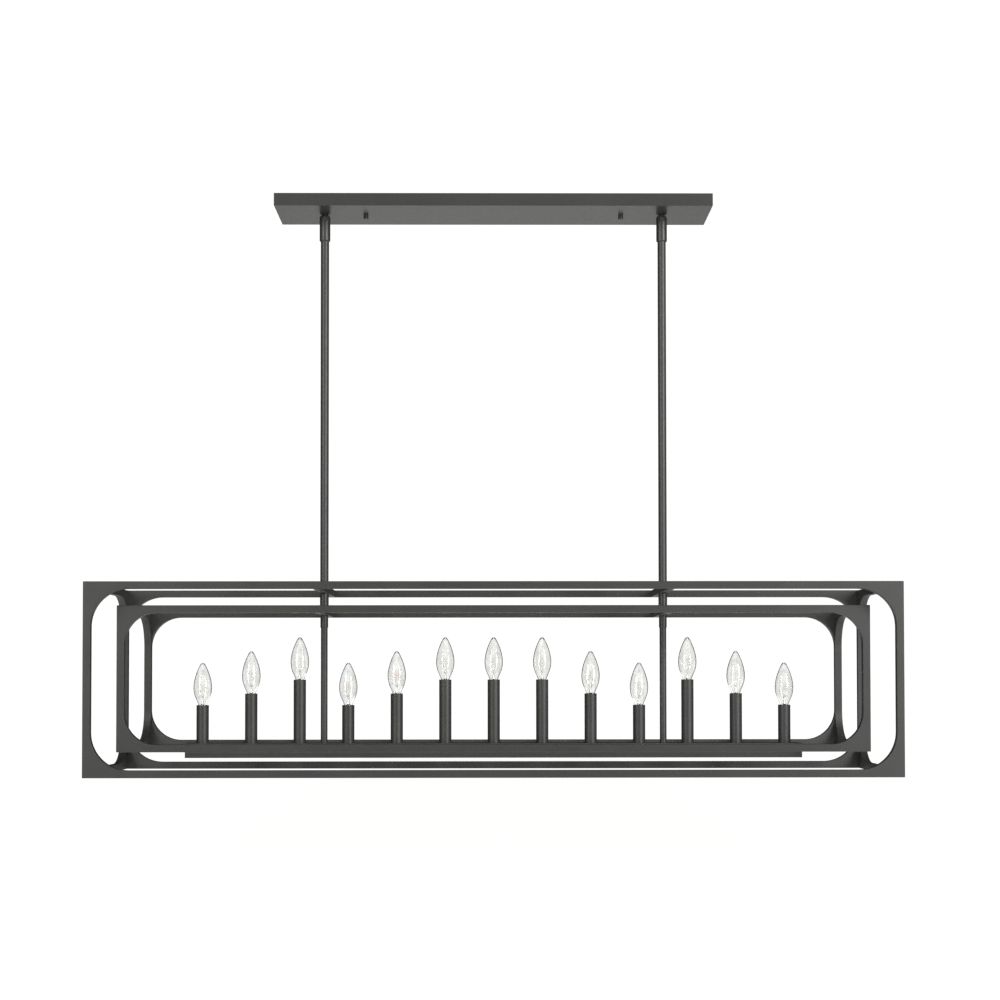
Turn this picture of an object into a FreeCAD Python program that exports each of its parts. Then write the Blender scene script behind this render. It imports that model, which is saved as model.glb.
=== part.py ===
"""Linear island pendant: two nested square-tube cages around a row of candle lamps.

Frame: millimetres, +Z up, X along the pendant, the front faces -Y. The origin lies in the
ceiling plane at the middle of the canopy, so the whole pendant hangs below z = 0.
"""
import FreeCAD
import Part
import math
import os

V = FreeCAD.Vector

# Bars of both cages
BAR = 12.7
BAR_WALL = 1.2

# Outer cage
OUTER_L = 1371.6
OUTER_W = 330.2
OUTER_H = 328.2
OUTER_TOP = -679.3
OUTER_R = 63.0

# Inner cage
INNER_L = 1273.0
INNER_W = 259.0
INNER_H = 248.0
INNER_TOP = -718.0
INNER_R = 54.0

# Canopy
CANOPY_L = 762.0
CANOPY_W = 133.4
CANOPY_H = 22.0
SHEET = 1.5
EDGE_R = 1.4

# Threaded pipe that joins the stems, and the clearance of its holes
PIPE_R = 4.75
PIPE_BORE = 3.2
FIT = 0.05
NUT_AF = 14.0
NUT_H = 5.0
WASHER_R = 9.5
WASHER_T = 1.2
NIPPLE_TAIL = 8.0
NIPPLE_REACH = 14.0
THROUGH_TAIL = 22.0

# Swivels and rods
ROD_X = 298.0
ROD_R = 7.3
ROD_WALL = 1.2
BUSH_H = 15.0
CUP_R = 9.45
CUP_TOP = -23.8
CUP_BOTTOM = -69.0
CUP_CHAMFER = 2.0
CUP_FLOOR = -47.0
CUP_NIPPLE_TOP = -50.0
CUP_NIPPLE_BOTTOM = -82.0
BALL_Z = -33.0
BALL_R = 6.0
NECK_R = 3.5
STEM_BORE = 2.4
STEM_TOP = -9.0
MOUTH_TOP_R = 6.5
LOCK_Z = -30.0
LOCK_HEAD_R = 4.0
LOCK_GAP = 1.0
LOCK_SEAT = 1.9
LOCK_PROUD = 0.9

# Studs and cap knobs of the canopy
STUD_X = 225.5
STUD_R = 2.1
KNOB_R = 4.35
KNOB_H = 6.9

# Strap against the ceiling
STRAP_L = 486.0
STRAP_W = 32.0
STRAP_T = 2.0
SLOT_X = 40.0
SLOT_LENGTH = 16.0
SLOT_R = 2.3

# Pieces on the line of the rods, below the outer cage
SPACER_R = 7.7
COLLAR_R = 6.85
COLLAR_BOTTOM = -752.6
LOWER_R = 5.95

# Tray and candles
TRAY_L = 1078.6
TRAY_W = 38.1
TRAY_TOP = -955.0
TRAY_BOTTOM = -980.4
TRAY_SHEET = 1.2
PITCH = 85.2
SLEEVE_R = 10.8
SLEEVE_WALL = 1.2
LOW = -888.5
MIDDLE = -868.3
HIGH = -843.8
SLEEVE_TOPS = (LOW, MIDDLE, HIGH, LOW, MIDDLE, HIGH, HIGH, HIGH, MIDDLE, LOW, HIGH, MIDDLE, LOW)

# Socket and lamp, measured down from the sleeve top
SOCKET_R = 9.2
SOCKET_TOP = 3.0
SOCKET_FLOOR = 26.0
SOCKET_BOTTOM = 36.0
SOCKET_BORE = 7.1
SHELL_R = 6.75
SHELL_BORE = 6.45
BASE_R = 6.0
BASE_TOP = 7.5
GLASS_WALL = 0.8

# Conductors
WIRE_R = 0.9
BRANCH_R = 0.8
BEND_R = 2.2
WIRE_STEP = 1.15
TRUNK_Y = 8.0
TRUNK_Z = -969.0
LOOM_Z = -6.8
TRUNK_SPARE = 3.0
LEAD_TOP = -52.0
SPLICE_X = 62.0
GROUND_SCREW_X = 92.0
GROUND_SPLICE_X = 106.0
GROUND_TURN_X = 140.0
CONNECTOR_R = 4.2
CONNECTOR_TIP_R = 2.8
CONNECTOR_L = 17.0
CONNECTOR_LAP = 1.0


def box(x0, x1, y0, y1, z0, z1):
    """Return an axis-parallel block between the given limits."""
    return Part.makeBox(x1 - x0, y1 - y0, z1 - z0, V(x0, y0, z0))


def rod(radius, start, end):
    """Return a round bar between two points."""
    axis = V(*end).sub(V(*start))
    return Part.makeCylinder(radius, axis.Length, V(*start), axis)


def pin(radius, x, z0, z1, y=0.0):
    """Return an upright round bar at x, y from z0 to z1."""
    return rod(radius, (x, y, min(z0, z1)), (x, y, max(z0, z1)))


def pipe(outer, bore, x, z0, z1, y=0.0):
    """Return an upright round tube."""
    return pin(outer, x, z0, z1, y).cut(pin(bore, x, z0, z1, y))


def turned(points, x, y=0.0, z=0.0):
    """Return the solid that a closed (radius, height) outline sweeps about an upright axis."""
    outline = [V(x + r, y, z + h) for r, h in points]
    face = Part.Face(Part.makePolygon(outline + outline[:1]))
    return face.revolve(V(x, y, z), V(0, 0, 1), 360)


def hex_nut(across, bore, x, z0, z1, y=0.0):
    """Return an upright hexagonal nut."""
    radius = across / math.sqrt(3)
    corners = [V(x + radius * math.cos(math.radians(60 * k)),
                 y + radius * math.sin(math.radians(60 * k)), z0) for k in range(7)]
    blank = Part.Face(Part.makePolygon(corners)).extrude(V(0, 0, z1 - z0))
    return blank.cut(pin(bore, x, z0, z1, y))


def save(name, solids):
    """Write one node; several solids stay separate in a compound."""
    shape = solids[0] if len(solids) == 1 else Part.makeCompound(solids)
    shape.exportStep("parts/%s.step" % name)


def square_tube(x0, x1, y0, y1, z0, z1, axis):
    """Return a square tube along the named axis, open at both ends."""
    grow = [0.0 if name == axis else BAR_WALL for name in "xyz"]
    core = box(x0 + grow[0], x1 - grow[0], y0 + grow[1], y1 - grow[1], z0 + grow[2], z1 - grow[2])
    return box(x0, x1, y0, y1, z0, z1).cut(core)


def web(corner, along, up, radius, thickness):
    """Return a corner web: the square corner of a window less its quarter circle.

    corner is the window's inside corner, along and up are unit vectors into the window, and
    thickness is the vector through the frame.
    """
    start = corner.add(along * radius)
    end = corner.add(up * radius)
    centre = start.add(up * radius)
    reach = radius * math.sqrt(0.5)
    middle = centre.sub(along * reach).sub(up * reach)
    edges = [Part.LineSegment(end, corner).toShape(),
             Part.LineSegment(corner, start).toShape(),
             Part.Arc(start, middle, end).toShape()]
    return Part.Face(Part.Wire(edges)).extrude(thickness)


def cage(name, length, width, height, top, radius):
    """Write the rails, posts, webs and cross bars of one cage."""
    hx = length / 2
    hy = width / 2
    bottom = top - height
    posts = []
    end_rails = []
    long_rails = []
    webs = []
    for sx in (-1, 1):
        xs = sorted((sx * hx, sx * (hx - BAR)))
        for sy in (-1, 1):
            ys = sorted((sy * hy, sy * (hy - BAR)))
            posts.append(box(xs[0], xs[1], ys[0], ys[1], bottom, top))
        for low in (bottom, top - BAR):
            end_rails.append(square_tube(xs[0], xs[1], BAR - hy, hy - BAR, low, low + BAR, "y"))
    for sy in (-1, 1):
        ys = sorted((sy * hy, sy * (hy - BAR)))
        for low in (bottom, top - BAR):
            long_rails.append(square_tube(BAR - hx, hx - BAR, ys[0], ys[1], low, low + BAR, "x"))
    for sx in (-1, 1):
        for sy in (-1, 1):
            for sz, z in ((1, bottom + BAR), (-1, top - BAR)):
                front = V(sx * (hx - BAR), sy * hy, z)
                webs.append(web(front, V(-sx, 0, 0), V(0, 0, sz), radius, V(0, -sy * BAR, 0)))
                end = V(sx * hx, sy * (hy - BAR), z)
                webs.append(web(end, V(0, -sy, 0), V(0, 0, sz), radius, V(-sx * BAR, 0, 0)))
    bars = []
    for sx in (-1, 1):
        x = sx * ROD_X
        bar = square_tube(x - BAR / 2, x + BAR / 2, BAR - hy, hy - BAR, top - BAR, top, "y")
        bars.append(bar.cut(pin(PIPE_R + FIT, x, top - BAR, top)))
    save(name + "_long_rails", long_rails)
    save(name + "_posts", posts)
    save(name + "_end_rails", end_rails)
    save(name + "_corner_webs", webs)
    save(name + "_cross_bars", bars)


def canopy():
    """Write the canopy, the strap and everything fixed to them."""
    hx = CANOPY_L / 2
    hy = CANOPY_W / 2
    pan = box(-hx, hx, -hy, hy, -CANOPY_H, 0)
    lower = [edge for edge in pan.Edges if edge.BoundBox.ZMax < 1 - CANOPY_H]
    pan = pan.makeFillet(EDGE_R, lower)
    pan = pan.cut(box(SHEET - hx, hx - SHEET, SHEET - hy, hy - SHEET, SHEET - CANOPY_H, 0))
    strap = box(-STRAP_L / 2, STRAP_L / 2, -STRAP_W / 2, STRAP_W / 2, -STRAP_T, 0)
    strap = strap.cut(pin(10.0, 0, -STRAP_T, 0))
    studs = []
    nuts = []
    stems = []
    washers = []
    stem_nuts = []
    floor = SHEET - CANOPY_H
    for side in (-1, 1):
        x = side * STUD_X
        pan = pan.cut(pin(STUD_R + 0.4, x, -CANOPY_H, floor))
        strap = strap.cut(pin(STUD_R + FIT, x, -STRAP_T, 0))
        studs.append(pin(STUD_R, x, -CANOPY_H - KNOB_H + 1.4, 0))
        nuts.append(hex_nut(8.0, STUD_R + FIT, x, -STRAP_T - 3.2, -STRAP_T))
        half = SLOT_LENGTH / 2 - SLOT_R
        for end in (-half, half):
            strap = strap.cut(pin(SLOT_R, side * SLOT_X + end, -STRAP_T, 0))
        strap = strap.cut(box(side * SLOT_X - half, side * SLOT_X + half, -SLOT_R, SLOT_R,
                              -STRAP_T, 0))
        x = side * ROD_X
        pan = pan.cut(pin(PIPE_R + FIT, x, -CANOPY_H, floor))
        ball = Part.makeSphere(BALL_R, V(x, 0, BALL_Z))
        stem = ball.fuse(pin(NECK_R, x, BALL_Z, -CANOPY_H)).fuse(
            pin(PIPE_R, x, -CANOPY_H, STEM_TOP))
        stems.append(stem.cut(pin(STEM_BORE, x, BALL_Z - BALL_R, STEM_TOP)).removeSplitter())
        seat = floor + WASHER_T
        washers.append(pipe(WASHER_R, PIPE_R + FIT, x, floor, seat))
        stem_nuts.append(hex_nut(NUT_AF, PIPE_R + FIT, x, seat, seat + NUT_H))
    x = GROUND_SCREW_X
    strap = strap.cut(pin(2.0, x, -STRAP_T, 0))
    ground = pin(1.95, x, -STRAP_T, 0).fuse(pin(4.0, x, -STRAP_T - 2.4, -STRAP_T))
    save("canopy_pan", [pan])
    save("mounting_strap", [strap])
    save("canopy_studs", studs)
    save("stud_nuts", nuts)
    save("ball_stems", stems)
    save("stem_washers", washers)
    save("stem_nuts", stem_nuts)
    save("ground_screw", [ground])
    canopy_wiring()


def run(points, radius=WIRE_R):
    """Return one conductor that follows the given points, with an even bend at each corner."""
    edges = []
    last = V(*points[0])
    for corner, after in zip(points[1:-1], points[2:]):
        corner = V(*corner)
        back = last.sub(corner).normalize()
        ahead = V(*after).sub(corner).normalize()
        begin = corner.add(back * BEND_R)
        end = corner.add(ahead * BEND_R)
        middle = corner.add((back + ahead) * (BEND_R * (1 - math.sqrt(0.5))))
        edges.append(Part.LineSegment(last, begin).toShape())
        edges.append(Part.Arc(begin, middle, end).toShape())
        last = end
    edges.append(Part.LineSegment(last, V(*points[-1])).toShape())
    ring = Part.Circle(V(*points[0]), V(*points[1]).sub(V(*points[0])), radius).toShape()
    return Part.Wire(edges).makePipeShell([Part.Wire([ring])], True, False)


def canopy_wiring():
    """Write the fixture's own leads in the canopy and their connectors."""
    leads = []
    caps = []
    for side in (-1, 1):
        y = side * TRUNK_Y
        x = side * WIRE_STEP - ROD_X
        leads.append(run([(-SPLICE_X, y, LOOM_Z), (x, y, LOOM_Z), (x, 0, LOOM_Z),
                          (x, 0, BALL_Z)]))
        caps.append(connector(-SPLICE_X, y))
    leads.append(run([(GROUND_SPLICE_X, -TRUNK_Y, LOOM_Z), (GROUND_TURN_X, -TRUNK_Y, LOOM_Z),
                      (GROUND_TURN_X, 0, LOOM_Z), (GROUND_SCREW_X + 5.0, 0, LOOM_Z)]))
    caps.append(connector(GROUND_SPLICE_X, -TRUNK_Y))
    save("canopy_leads", leads)
    save("wire_connectors", caps)


def connector(x, y):
    """Return a twist-on connector whose closed end points to +X or -X from the lead's end."""
    ahead = -1 if x > 0 else 1
    mouth = x - ahead * CONNECTOR_LAP
    cone = Part.makeCone(CONNECTOR_R, CONNECTOR_TIP_R, CONNECTOR_L, V(mouth, y, LOOM_Z),
                         V(ahead, 0, 0))
    return cone.cut(rod(WIRE_R + FIT, (mouth, y, LOOM_Z), (x, y, LOOM_Z)))


def cap_knob(name, x):
    """Write one turned knob that holds the canopy on its stud."""
    top = -CANOPY_H
    low = top - KNOB_H
    blank = turned([(0, low), (KNOB_R - 0.4, low), (KNOB_R, low + 0.4), (KNOB_R, top), (0, top)], x)
    save(name, [blank.cut(pin(STUD_R + FIT, x, low + 1.4, top))])


def swivel_and_rods():
    """Write the knuckles, the rods and the threaded pieces on their line."""
    cups = []
    locks = []
    nipples = []
    rods = []
    bushes = []
    through = []
    spacers = []
    collars = []
    lower = []
    seat_r = BALL_R + FIT
    mouth_h = 3.5
    mouth_r = math.sqrt(seat_r ** 2 - mouth_h ** 2)
    for side in (-1, 1):
        x = side * ROD_X
        cup = turned([(0, CUP_BOTTOM), (CUP_R - 1.2, CUP_BOTTOM), (CUP_R, CUP_BOTTOM + 1.2),
                      (CUP_R, CUP_TOP - CUP_CHAMFER), (CUP_R - CUP_CHAMFER, CUP_TOP),
                      (0, CUP_TOP)], x)
        cup = cup.cut(Part.makeSphere(seat_r, V(x, 0, BALL_Z)))
        cup = cup.cut(Part.makeCone(mouth_r, MOUTH_TOP_R, CUP_TOP - BALL_Z - mouth_h,
                                    V(x, 0, BALL_Z + mouth_h)))
        cup = cup.cut(pin(seat_r, x, CUP_FLOOR, BALL_Z))
        cup = cup.cut(pin(PIPE_R + FIT, x, CUP_BOTTOM, CUP_FLOOR))
        seat = -CUP_R + LOCK_SEAT
        shank = rod(1.5, (x, seat + 1.1, LOCK_Z), (x, seat - 0.5, LOCK_Z))
        hole = rod(1.5 + FIT, (x, seat + 1.2, LOCK_Z), (x, -CUP_R - 1.0, LOCK_Z))
        flat = rod(LOCK_HEAD_R + LOCK_GAP, (x, seat, LOCK_Z), (x, -CUP_R - 1.0, LOCK_Z))
        cups.append(cup.cut(hole).cut(flat))
        head = rod(LOCK_HEAD_R, (x, seat, LOCK_Z), (x, -CUP_R - LOCK_PROUD, LOCK_Z))
        rim = [edge for edge in head.Edges
               if edge.BoundBox.YMax < -CUP_R - 0.8 and edge.BoundBox.ZLength > 1]
        head = head.makeFillet(0.6, rim)
        slot = box(x - 3.1, x + 3.1, -CUP_R - 1.0, -CUP_R - 0.35, LOCK_Z - 0.45, LOCK_Z + 0.45)
        locks.append(head.fuse(shank).cut(slot))
        nipples.append(pipe(PIPE_R, PIPE_BORE, x, CUP_NIPPLE_BOTTOM, CUP_NIPPLE_TOP))
        rods.append(pipe(ROD_R, ROD_R - ROD_WALL, x, OUTER_TOP, CUP_BOTTOM))
        bushes.append(pipe(ROD_R - ROD_WALL - FIT, PIPE_R + FIT, x, CUP_BOTTOM - BUSH_H,
                           CUP_BOTTOM))
        bushes.append(pipe(ROD_R - ROD_WALL - FIT, PIPE_R + FIT, x, OUTER_TOP,
                           OUTER_TOP + BUSH_H))
        through.append(pipe(PIPE_R, PIPE_BORE, x, COLLAR_BOTTOM - THROUGH_TAIL,
                            OUTER_TOP + NIPPLE_REACH))
        spacers.append(pipe(SPACER_R, PIPE_R + FIT, x, INNER_TOP, OUTER_TOP - BAR))
        collars.append(pipe(COLLAR_R, PIPE_R + FIT, x, COLLAR_BOTTOM, INNER_TOP - BAR))
        lower.append(pipe(LOWER_R, PIPE_R + FIT, x, TRAY_TOP, COLLAR_BOTTOM))
    save("swivel_knuckles", cups)
    save("lock_screws", locks)
    save("knuckle_nipples", nipples)
    save("rods", rods)
    save("rod_bushings", bushes)
    save("through_nipples", through)
    save("cage_spacers", spacers)
    save("cage_collars", collars)
    save("lower_stems", lower)


def candle_x(index):
    """Return the position of candle 0 to 12 along the tray."""
    return (index - (len(SLEEVE_TOPS) - 1) / 2) * PITCH


def tray():
    """Write the tray, its cover and the nuts inside it."""
    hx = TRAY_L / 2
    hy = TRAY_W / 2
    ceiling = TRAY_TOP - TRAY_SHEET
    channel = box(-hx, hx, -hy, hy, TRAY_BOTTOM, TRAY_TOP)
    channel = channel.cut(box(TRAY_SHEET - hx, hx - TRAY_SHEET, TRAY_SHEET - hy, hy - TRAY_SHEET,
                              TRAY_BOTTOM, ceiling))
    nipples = []
    nuts = []
    for side in (-1, 1):
        x = side * ROD_X
        channel = channel.cut(pin(PIPE_R + FIT, x, ceiling, TRAY_TOP))
        nipples.append(pipe(PIPE_R, PIPE_BORE, x, ceiling - NIPPLE_TAIL,
                            TRAY_TOP + NIPPLE_REACH))
        nuts.append(hex_nut(NUT_AF, PIPE_R + FIT, x, ceiling - NUT_H, ceiling))
    for index in range(len(SLEEVE_TOPS)):
        channel = channel.cut(pin(PIPE_R + FIT, candle_x(index), ceiling, TRAY_TOP))
    inset = TRAY_SHEET + 0.2
    cover_top = TRAY_BOTTOM + TRAY_SHEET
    cover = box(inset - hx, hx - inset, inset - hy, hy - inset, TRAY_BOTTOM, cover_top)
    screws = []
    standoffs = []
    for x in (-5.5 * PITCH, -1.5 * PITCH, 1.5 * PITCH, 5.5 * PITCH):
        sink = Part.makeCone(2.8 + FIT, 1.5 + FIT, TRAY_SHEET, V(x, 0, TRAY_BOTTOM))
        cover = cover.cut(sink)
        standoffs.append(pipe(3.0, 1.6, x, cover_top, ceiling))
        head = Part.makeCone(2.8, 1.5, TRAY_SHEET, V(x, 0, TRAY_BOTTOM))
        screws.append(head.fuse(pin(1.5, x, cover_top, TRAY_BOTTOM + 8.0)))
    save("tray_channel", [channel])
    save("tray_cover", [cover])
    save("cover_screws", screws)
    save("cover_standoffs", standoffs)
    save("tray_nipples", nipples)
    save("tray_nuts", nuts)


def tray_wiring():
    """Write the two conductors from the left rod through the tray to every socket."""
    leads = []
    for side in (-1, 1):
        y = side * TRUNK_Y
        step = side * WIRE_STEP
        first = candle_x(0) + step
        last = candle_x(len(SLEEVE_TOPS) - 1) + step
        trunk = rod(WIRE_R, (first - TRUNK_SPARE, y, TRUNK_Z), (last + TRUNK_SPARE, y, TRUNK_Z))
        drops = [(candle_x(i) + step, top - SOCKET_BOTTOM + 5.4)
                 for i, top in enumerate(SLEEVE_TOPS)]
        drops.append((step - ROD_X, LEAD_TOP))
        branches = [run([(x, y, TRUNK_Z), (x, 0, TRUNK_Z), (x, 0, z)], BRANCH_R)
                    for x, z in drops]
        leads.append(trunk.fuse(branches).removeSplitter())
    save("tray_leads", leads)


def candles():
    """Write the sleeves and what stands inside them."""
    sleeves = []
    sockets = []
    shells = []
    contacts = []
    posts = []
    nuts = []
    ceiling = TRAY_TOP - TRAY_SHEET
    for index, top in enumerate(SLEEVE_TOPS):
        x = candle_x(index)
        sleeves.append(pipe(SLEEVE_R, SLEEVE_R - SLEEVE_WALL, x, TRAY_TOP, top))
        body = pin(SOCKET_R, x, top - SOCKET_BOTTOM, top - SOCKET_TOP)
        body = body.cut(pin(SOCKET_BORE, x, top - SOCKET_FLOOR, top - SOCKET_TOP))
        sockets.append(body.cut(pin(PIPE_R + FIT, x, top - SOCKET_BOTTOM,
                                    top - SOCKET_BOTTOM + 6.0)))
        shells.append(pipe(SHELL_R, SHELL_BORE, x, top - SOCKET_FLOOR, top - BASE_TOP - 1.5))
        contacts.append(pin(2.6, x, top - SOCKET_FLOOR, top - SOCKET_FLOOR + 1.0))
        posts.append(pipe(PIPE_R, PIPE_BORE, x, ceiling - NIPPLE_TAIL,
                          top - SOCKET_BOTTOM + 5.5))
        nuts.append(hex_nut(NUT_AF, PIPE_R + FIT, x, ceiling - NUT_H, ceiling))
    save("candle_sleeves", sleeves)
    save("socket_bodies", sockets)
    save("socket_shells", shells)
    save("socket_contacts", contacts)
    save("socket_posts", posts)
    save("socket_nuts", nuts)


# Outer outline of the lamp glass: radius and height above the sleeve top
GLASS = ((6.2, -7.5), (6.45, -5.0), (6.75, -3.0), (7.3, 0.0), (9.4, 6.0), (12.7, 13.5),
         (15.1, 21.5), (16.0, 30.0), (15.6, 38.0), (14.1, 46.0), (12.0, 53.5), (9.4, 60.5),
         (6.7, 66.5), (4.4, 71.0), (2.3, 73.7), (0.0, 74.7))


def glass_solid(x, top):
    """Return the hollow glass of one lamp."""
    def side(shrink, drop):
        points = [V(x + max(r - shrink, 0.0), 0, top + z - drop * max(z, 0.0) / 74.7)
                  for r, z in GLASS]
        points[-1] = V(x, 0, points[-1].z)
        curve = Part.BSplineCurve()
        curve.interpolate(Points=points, InitialTangent=V(0.1, 0, 1), FinalTangent=V(-1, 0, 0))
        return points, curve.toShape()
    outer_points, outer = side(0.0, 0.0)
    inner_points, inner = side(GLASS_WALL, GLASS_WALL)
    foot = Part.LineSegment(inner_points[0], outer_points[0]).toShape()
    tip = Part.LineSegment(outer_points[-1], inner_points[-1]).toShape()
    face = Part.Face(Part.Wire([foot, outer, tip, inner]))
    return face.revolve(V(x, 0, top), V(0, 0, 1), 360)


def lamp(index):
    """Write one lamp: its glass, screw base, inner stem and filament."""
    x = candle_x(index)
    top = SLEEVE_TOPS[index]
    shoulder = -BASE_TOP
    tip = SOCKET_FLOOR - 1.0
    outline = [(0, shoulder), (BASE_R, shoulder), (BASE_R, shoulder - 2.5)]
    crest = shoulder - 2.5
    for turn in range(4):
        outline += [(BASE_R - 0.5, crest - 1.27), (BASE_R, crest - 2.54)]
        crest -= 2.54
    outline += [(BASE_R - 0.8, crest - 0.8), (2.6, -tip + 1.2), (2.2, -tip), (0, -tip)]
    base = turned(outline, x, 0, top)
    stem = turned([(0, shoulder), (3.4, shoulder), (2.6, 2.0), (1.5, 9.0), (1.5, 15.0), (0, 15.0)],
                  x, 0, top)
    legs = []
    for side in (-1, 1):
        foot = (x + side * 0.9, 0, top + 15.0)
        head = (x + side * 4.2, 0, top + 27.0)
        legs.append(rod(0.25, foot, head))
    arch = Part.Arc(V(x - 4.2, 0, top + 27.0), V(x, 0, top + 36.0), V(x + 4.2, 0, top + 27.0))
    path = Part.Wire([arch.toShape()])
    start = Part.Wire([Part.Circle(V(x - 4.2, 0, top + 27.0), arch.tangent(arch.FirstParameter)[0],
                                   0.3).toShape()])
    coil = path.makePipeShell([start], True, False)
    filament = legs[0].fuse([legs[1], coil])
    save("lamp_%02d" % (index + 1), [glass_solid(x, top), base, stem, filament])


def main():
    """Write every node of the pendant."""
    os.makedirs("parts", exist_ok=True)
    canopy()
    cap_knob("cap_knob_left", -STUD_X)
    cap_knob("cap_knob_right", STUD_X)
    swivel_and_rods()
    cage("outer", OUTER_L, OUTER_W, OUTER_H, OUTER_TOP, OUTER_R)
    cage("inner", INNER_L, INNER_W, INNER_H, INNER_TOP, INNER_R)
    tray()
    tray_wiring()
    candles()
    for index in range(len(SLEEVE_TOPS)):
        lamp(index)


main()
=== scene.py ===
"""Looks of the linear island pendant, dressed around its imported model.

The frame is the model's: metres, +Z up, X along the pendant, the front faces -Y and z = 0 is the
ceiling. Sizes are kept in millimetres and become metres where a mesh is written.
"""
import logging
import math
from dataclasses import dataclass, replace
from enum import Enum, IntFlag

import bpy
import numpy as np
from mathutils import Matrix, Vector


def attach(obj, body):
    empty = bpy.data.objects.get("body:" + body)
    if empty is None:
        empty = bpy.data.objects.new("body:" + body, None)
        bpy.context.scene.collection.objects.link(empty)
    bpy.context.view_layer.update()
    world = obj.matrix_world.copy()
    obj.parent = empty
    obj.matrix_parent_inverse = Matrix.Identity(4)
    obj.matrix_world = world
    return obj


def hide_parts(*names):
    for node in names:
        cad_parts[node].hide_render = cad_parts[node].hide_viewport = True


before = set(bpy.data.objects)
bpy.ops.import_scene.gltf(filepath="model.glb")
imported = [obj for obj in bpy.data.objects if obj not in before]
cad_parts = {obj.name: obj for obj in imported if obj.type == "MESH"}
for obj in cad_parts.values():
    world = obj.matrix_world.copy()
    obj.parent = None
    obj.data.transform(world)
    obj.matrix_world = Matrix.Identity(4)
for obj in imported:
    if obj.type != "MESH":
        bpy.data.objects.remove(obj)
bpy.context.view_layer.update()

MM = 0.001
log = logging.getLogger("pendant")

# Sizes that several sub-assemblies share, in millimetres.
BAR = 12.7
ROD_X = 298.0
OUTER_TOP = -679.3
INNER_TOP = -718.0
TRAY_TOP = -955.0

# Two places are one where they agree to this many digits of a millimetre.
PLACE_DIGITS = 4
# Faces that meet at a smaller turn than this belong to one curve.
CURVE_TURN = math.radians(35)
# Faces across a broken edge.
BEVEL_STEPS = 3
# Blender's numbers for the sockets of a mix node that mixes colours.
MIX_FACTOR, MIX_A, MIX_B, MIX_RESULT = 0, 6, 7, 2

Settings = dict[str | int, object]
Links = dict[str | int, bpy.types.NodeSocket]
Point = tuple[float, float, float]
Outline = tuple[tuple[float, float], ...]


class Slot(Enum):
    """Material slots named in the record."""

    POWDER = "black_powder_coat"
    CANOPY = "canopy_paint"
    BRASS = "shell_brass"
    GLASS = "lamp_glass"


class Edge(Enum):
    """How an edge is broken: the radius in millimetres that a finishing step leaves on it."""

    NONE = 0.0
    DEBURRED = 0.25
    COATED = 0.5
    BAR = 0.9
    FOLDED = 1.4


class Mark(IntFlag):
    """Marks of points: an edge is rounded where both of its ends carry a common mark."""

    FIRST = 1
    SECOND = 2
    THIRD = 4
    FOURTH = 8


# Shader helpers


def linear(code: str) -> tuple[float, float, float, float]:
    """Turn an sRGB hex colour into linear light.

    Args:
        code: Six hex digits, red first.

    Returns:
        Red, green, blue and an alpha of one.
    """
    values = [int(code[i:i + 2], 16) / 255 for i in (0, 2, 4)]
    out = [v / 12.92 if v <= 0.04045 else ((v + 0.055) / 1.055) ** 2.4 for v in values]
    return out[0], out[1], out[2], 1.0


def add_node(tree: bpy.types.NodeTree, kind: str, settings: Settings | None = None,
             links: Links | None = None) -> bpy.types.Node:
    """Add one shader node with its settings and links.

    Args:
        tree: Node tree that gets the node.
        kind: Blender's name of the node's type.
        settings: Properties by their lower-case name, and socket values by label or number.
        links: Sockets that feed the node's inputs, by label or number.

    Returns:
        The new node.
    """
    made = tree.nodes.new(kind)
    for key, value in (settings or {}).items():
        if isinstance(key, str) and key.islower():
            setattr(made, key, value)
        else:
            made.inputs[key].default_value = value
    for key, source in (links or {}).items():
        tree.links.new(source, made.inputs[key])
    return made


def grained(tree: bpy.types.NodeTree, place: bpy.types.NodeSocket, size: float, detail: float,
            roughness: float) -> bpy.types.NodeSocket:
    """Add a fractal noise.

    Args:
        tree: Node tree that gets the node.
        place: Socket that feeds the noise its place.
        size: Size of its grains, in millimetres.
        detail: How many finer layers it adds.
        roughness: How strong each layer is beside the one before.

    Returns:
        The socket of the noise's value.
    """
    return add_node(tree, "ShaderNodeTexNoise",
                    {"Scale": 1.0 / (size * MM), "Detail": detail, "Roughness": roughness},
                    {"Vector": place}).outputs[0]


def mapped(tree: bpy.types.NodeTree, value: bpy.types.NodeSocket, low: float, high: float,
           span: tuple[float, float] = (0.0, 1.0)) -> bpy.types.NodeSocket:
    """Map a value's span onto low to high in a straight line, held at both ends.

    Args:
        tree: Node tree that gets the node.
        value: Socket of the value.
        low: Result at the start of the span.
        high: Result at its end.
        span: The values between which the result changes.

    Returns:
        The socket of the result.
    """
    return add_node(tree, "ShaderNodeMapRange",
                    {"From Min": span[0], "From Max": span[1], "To Min": low, "To Max": high},
                    {"Value": value}).outputs[0]


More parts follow.
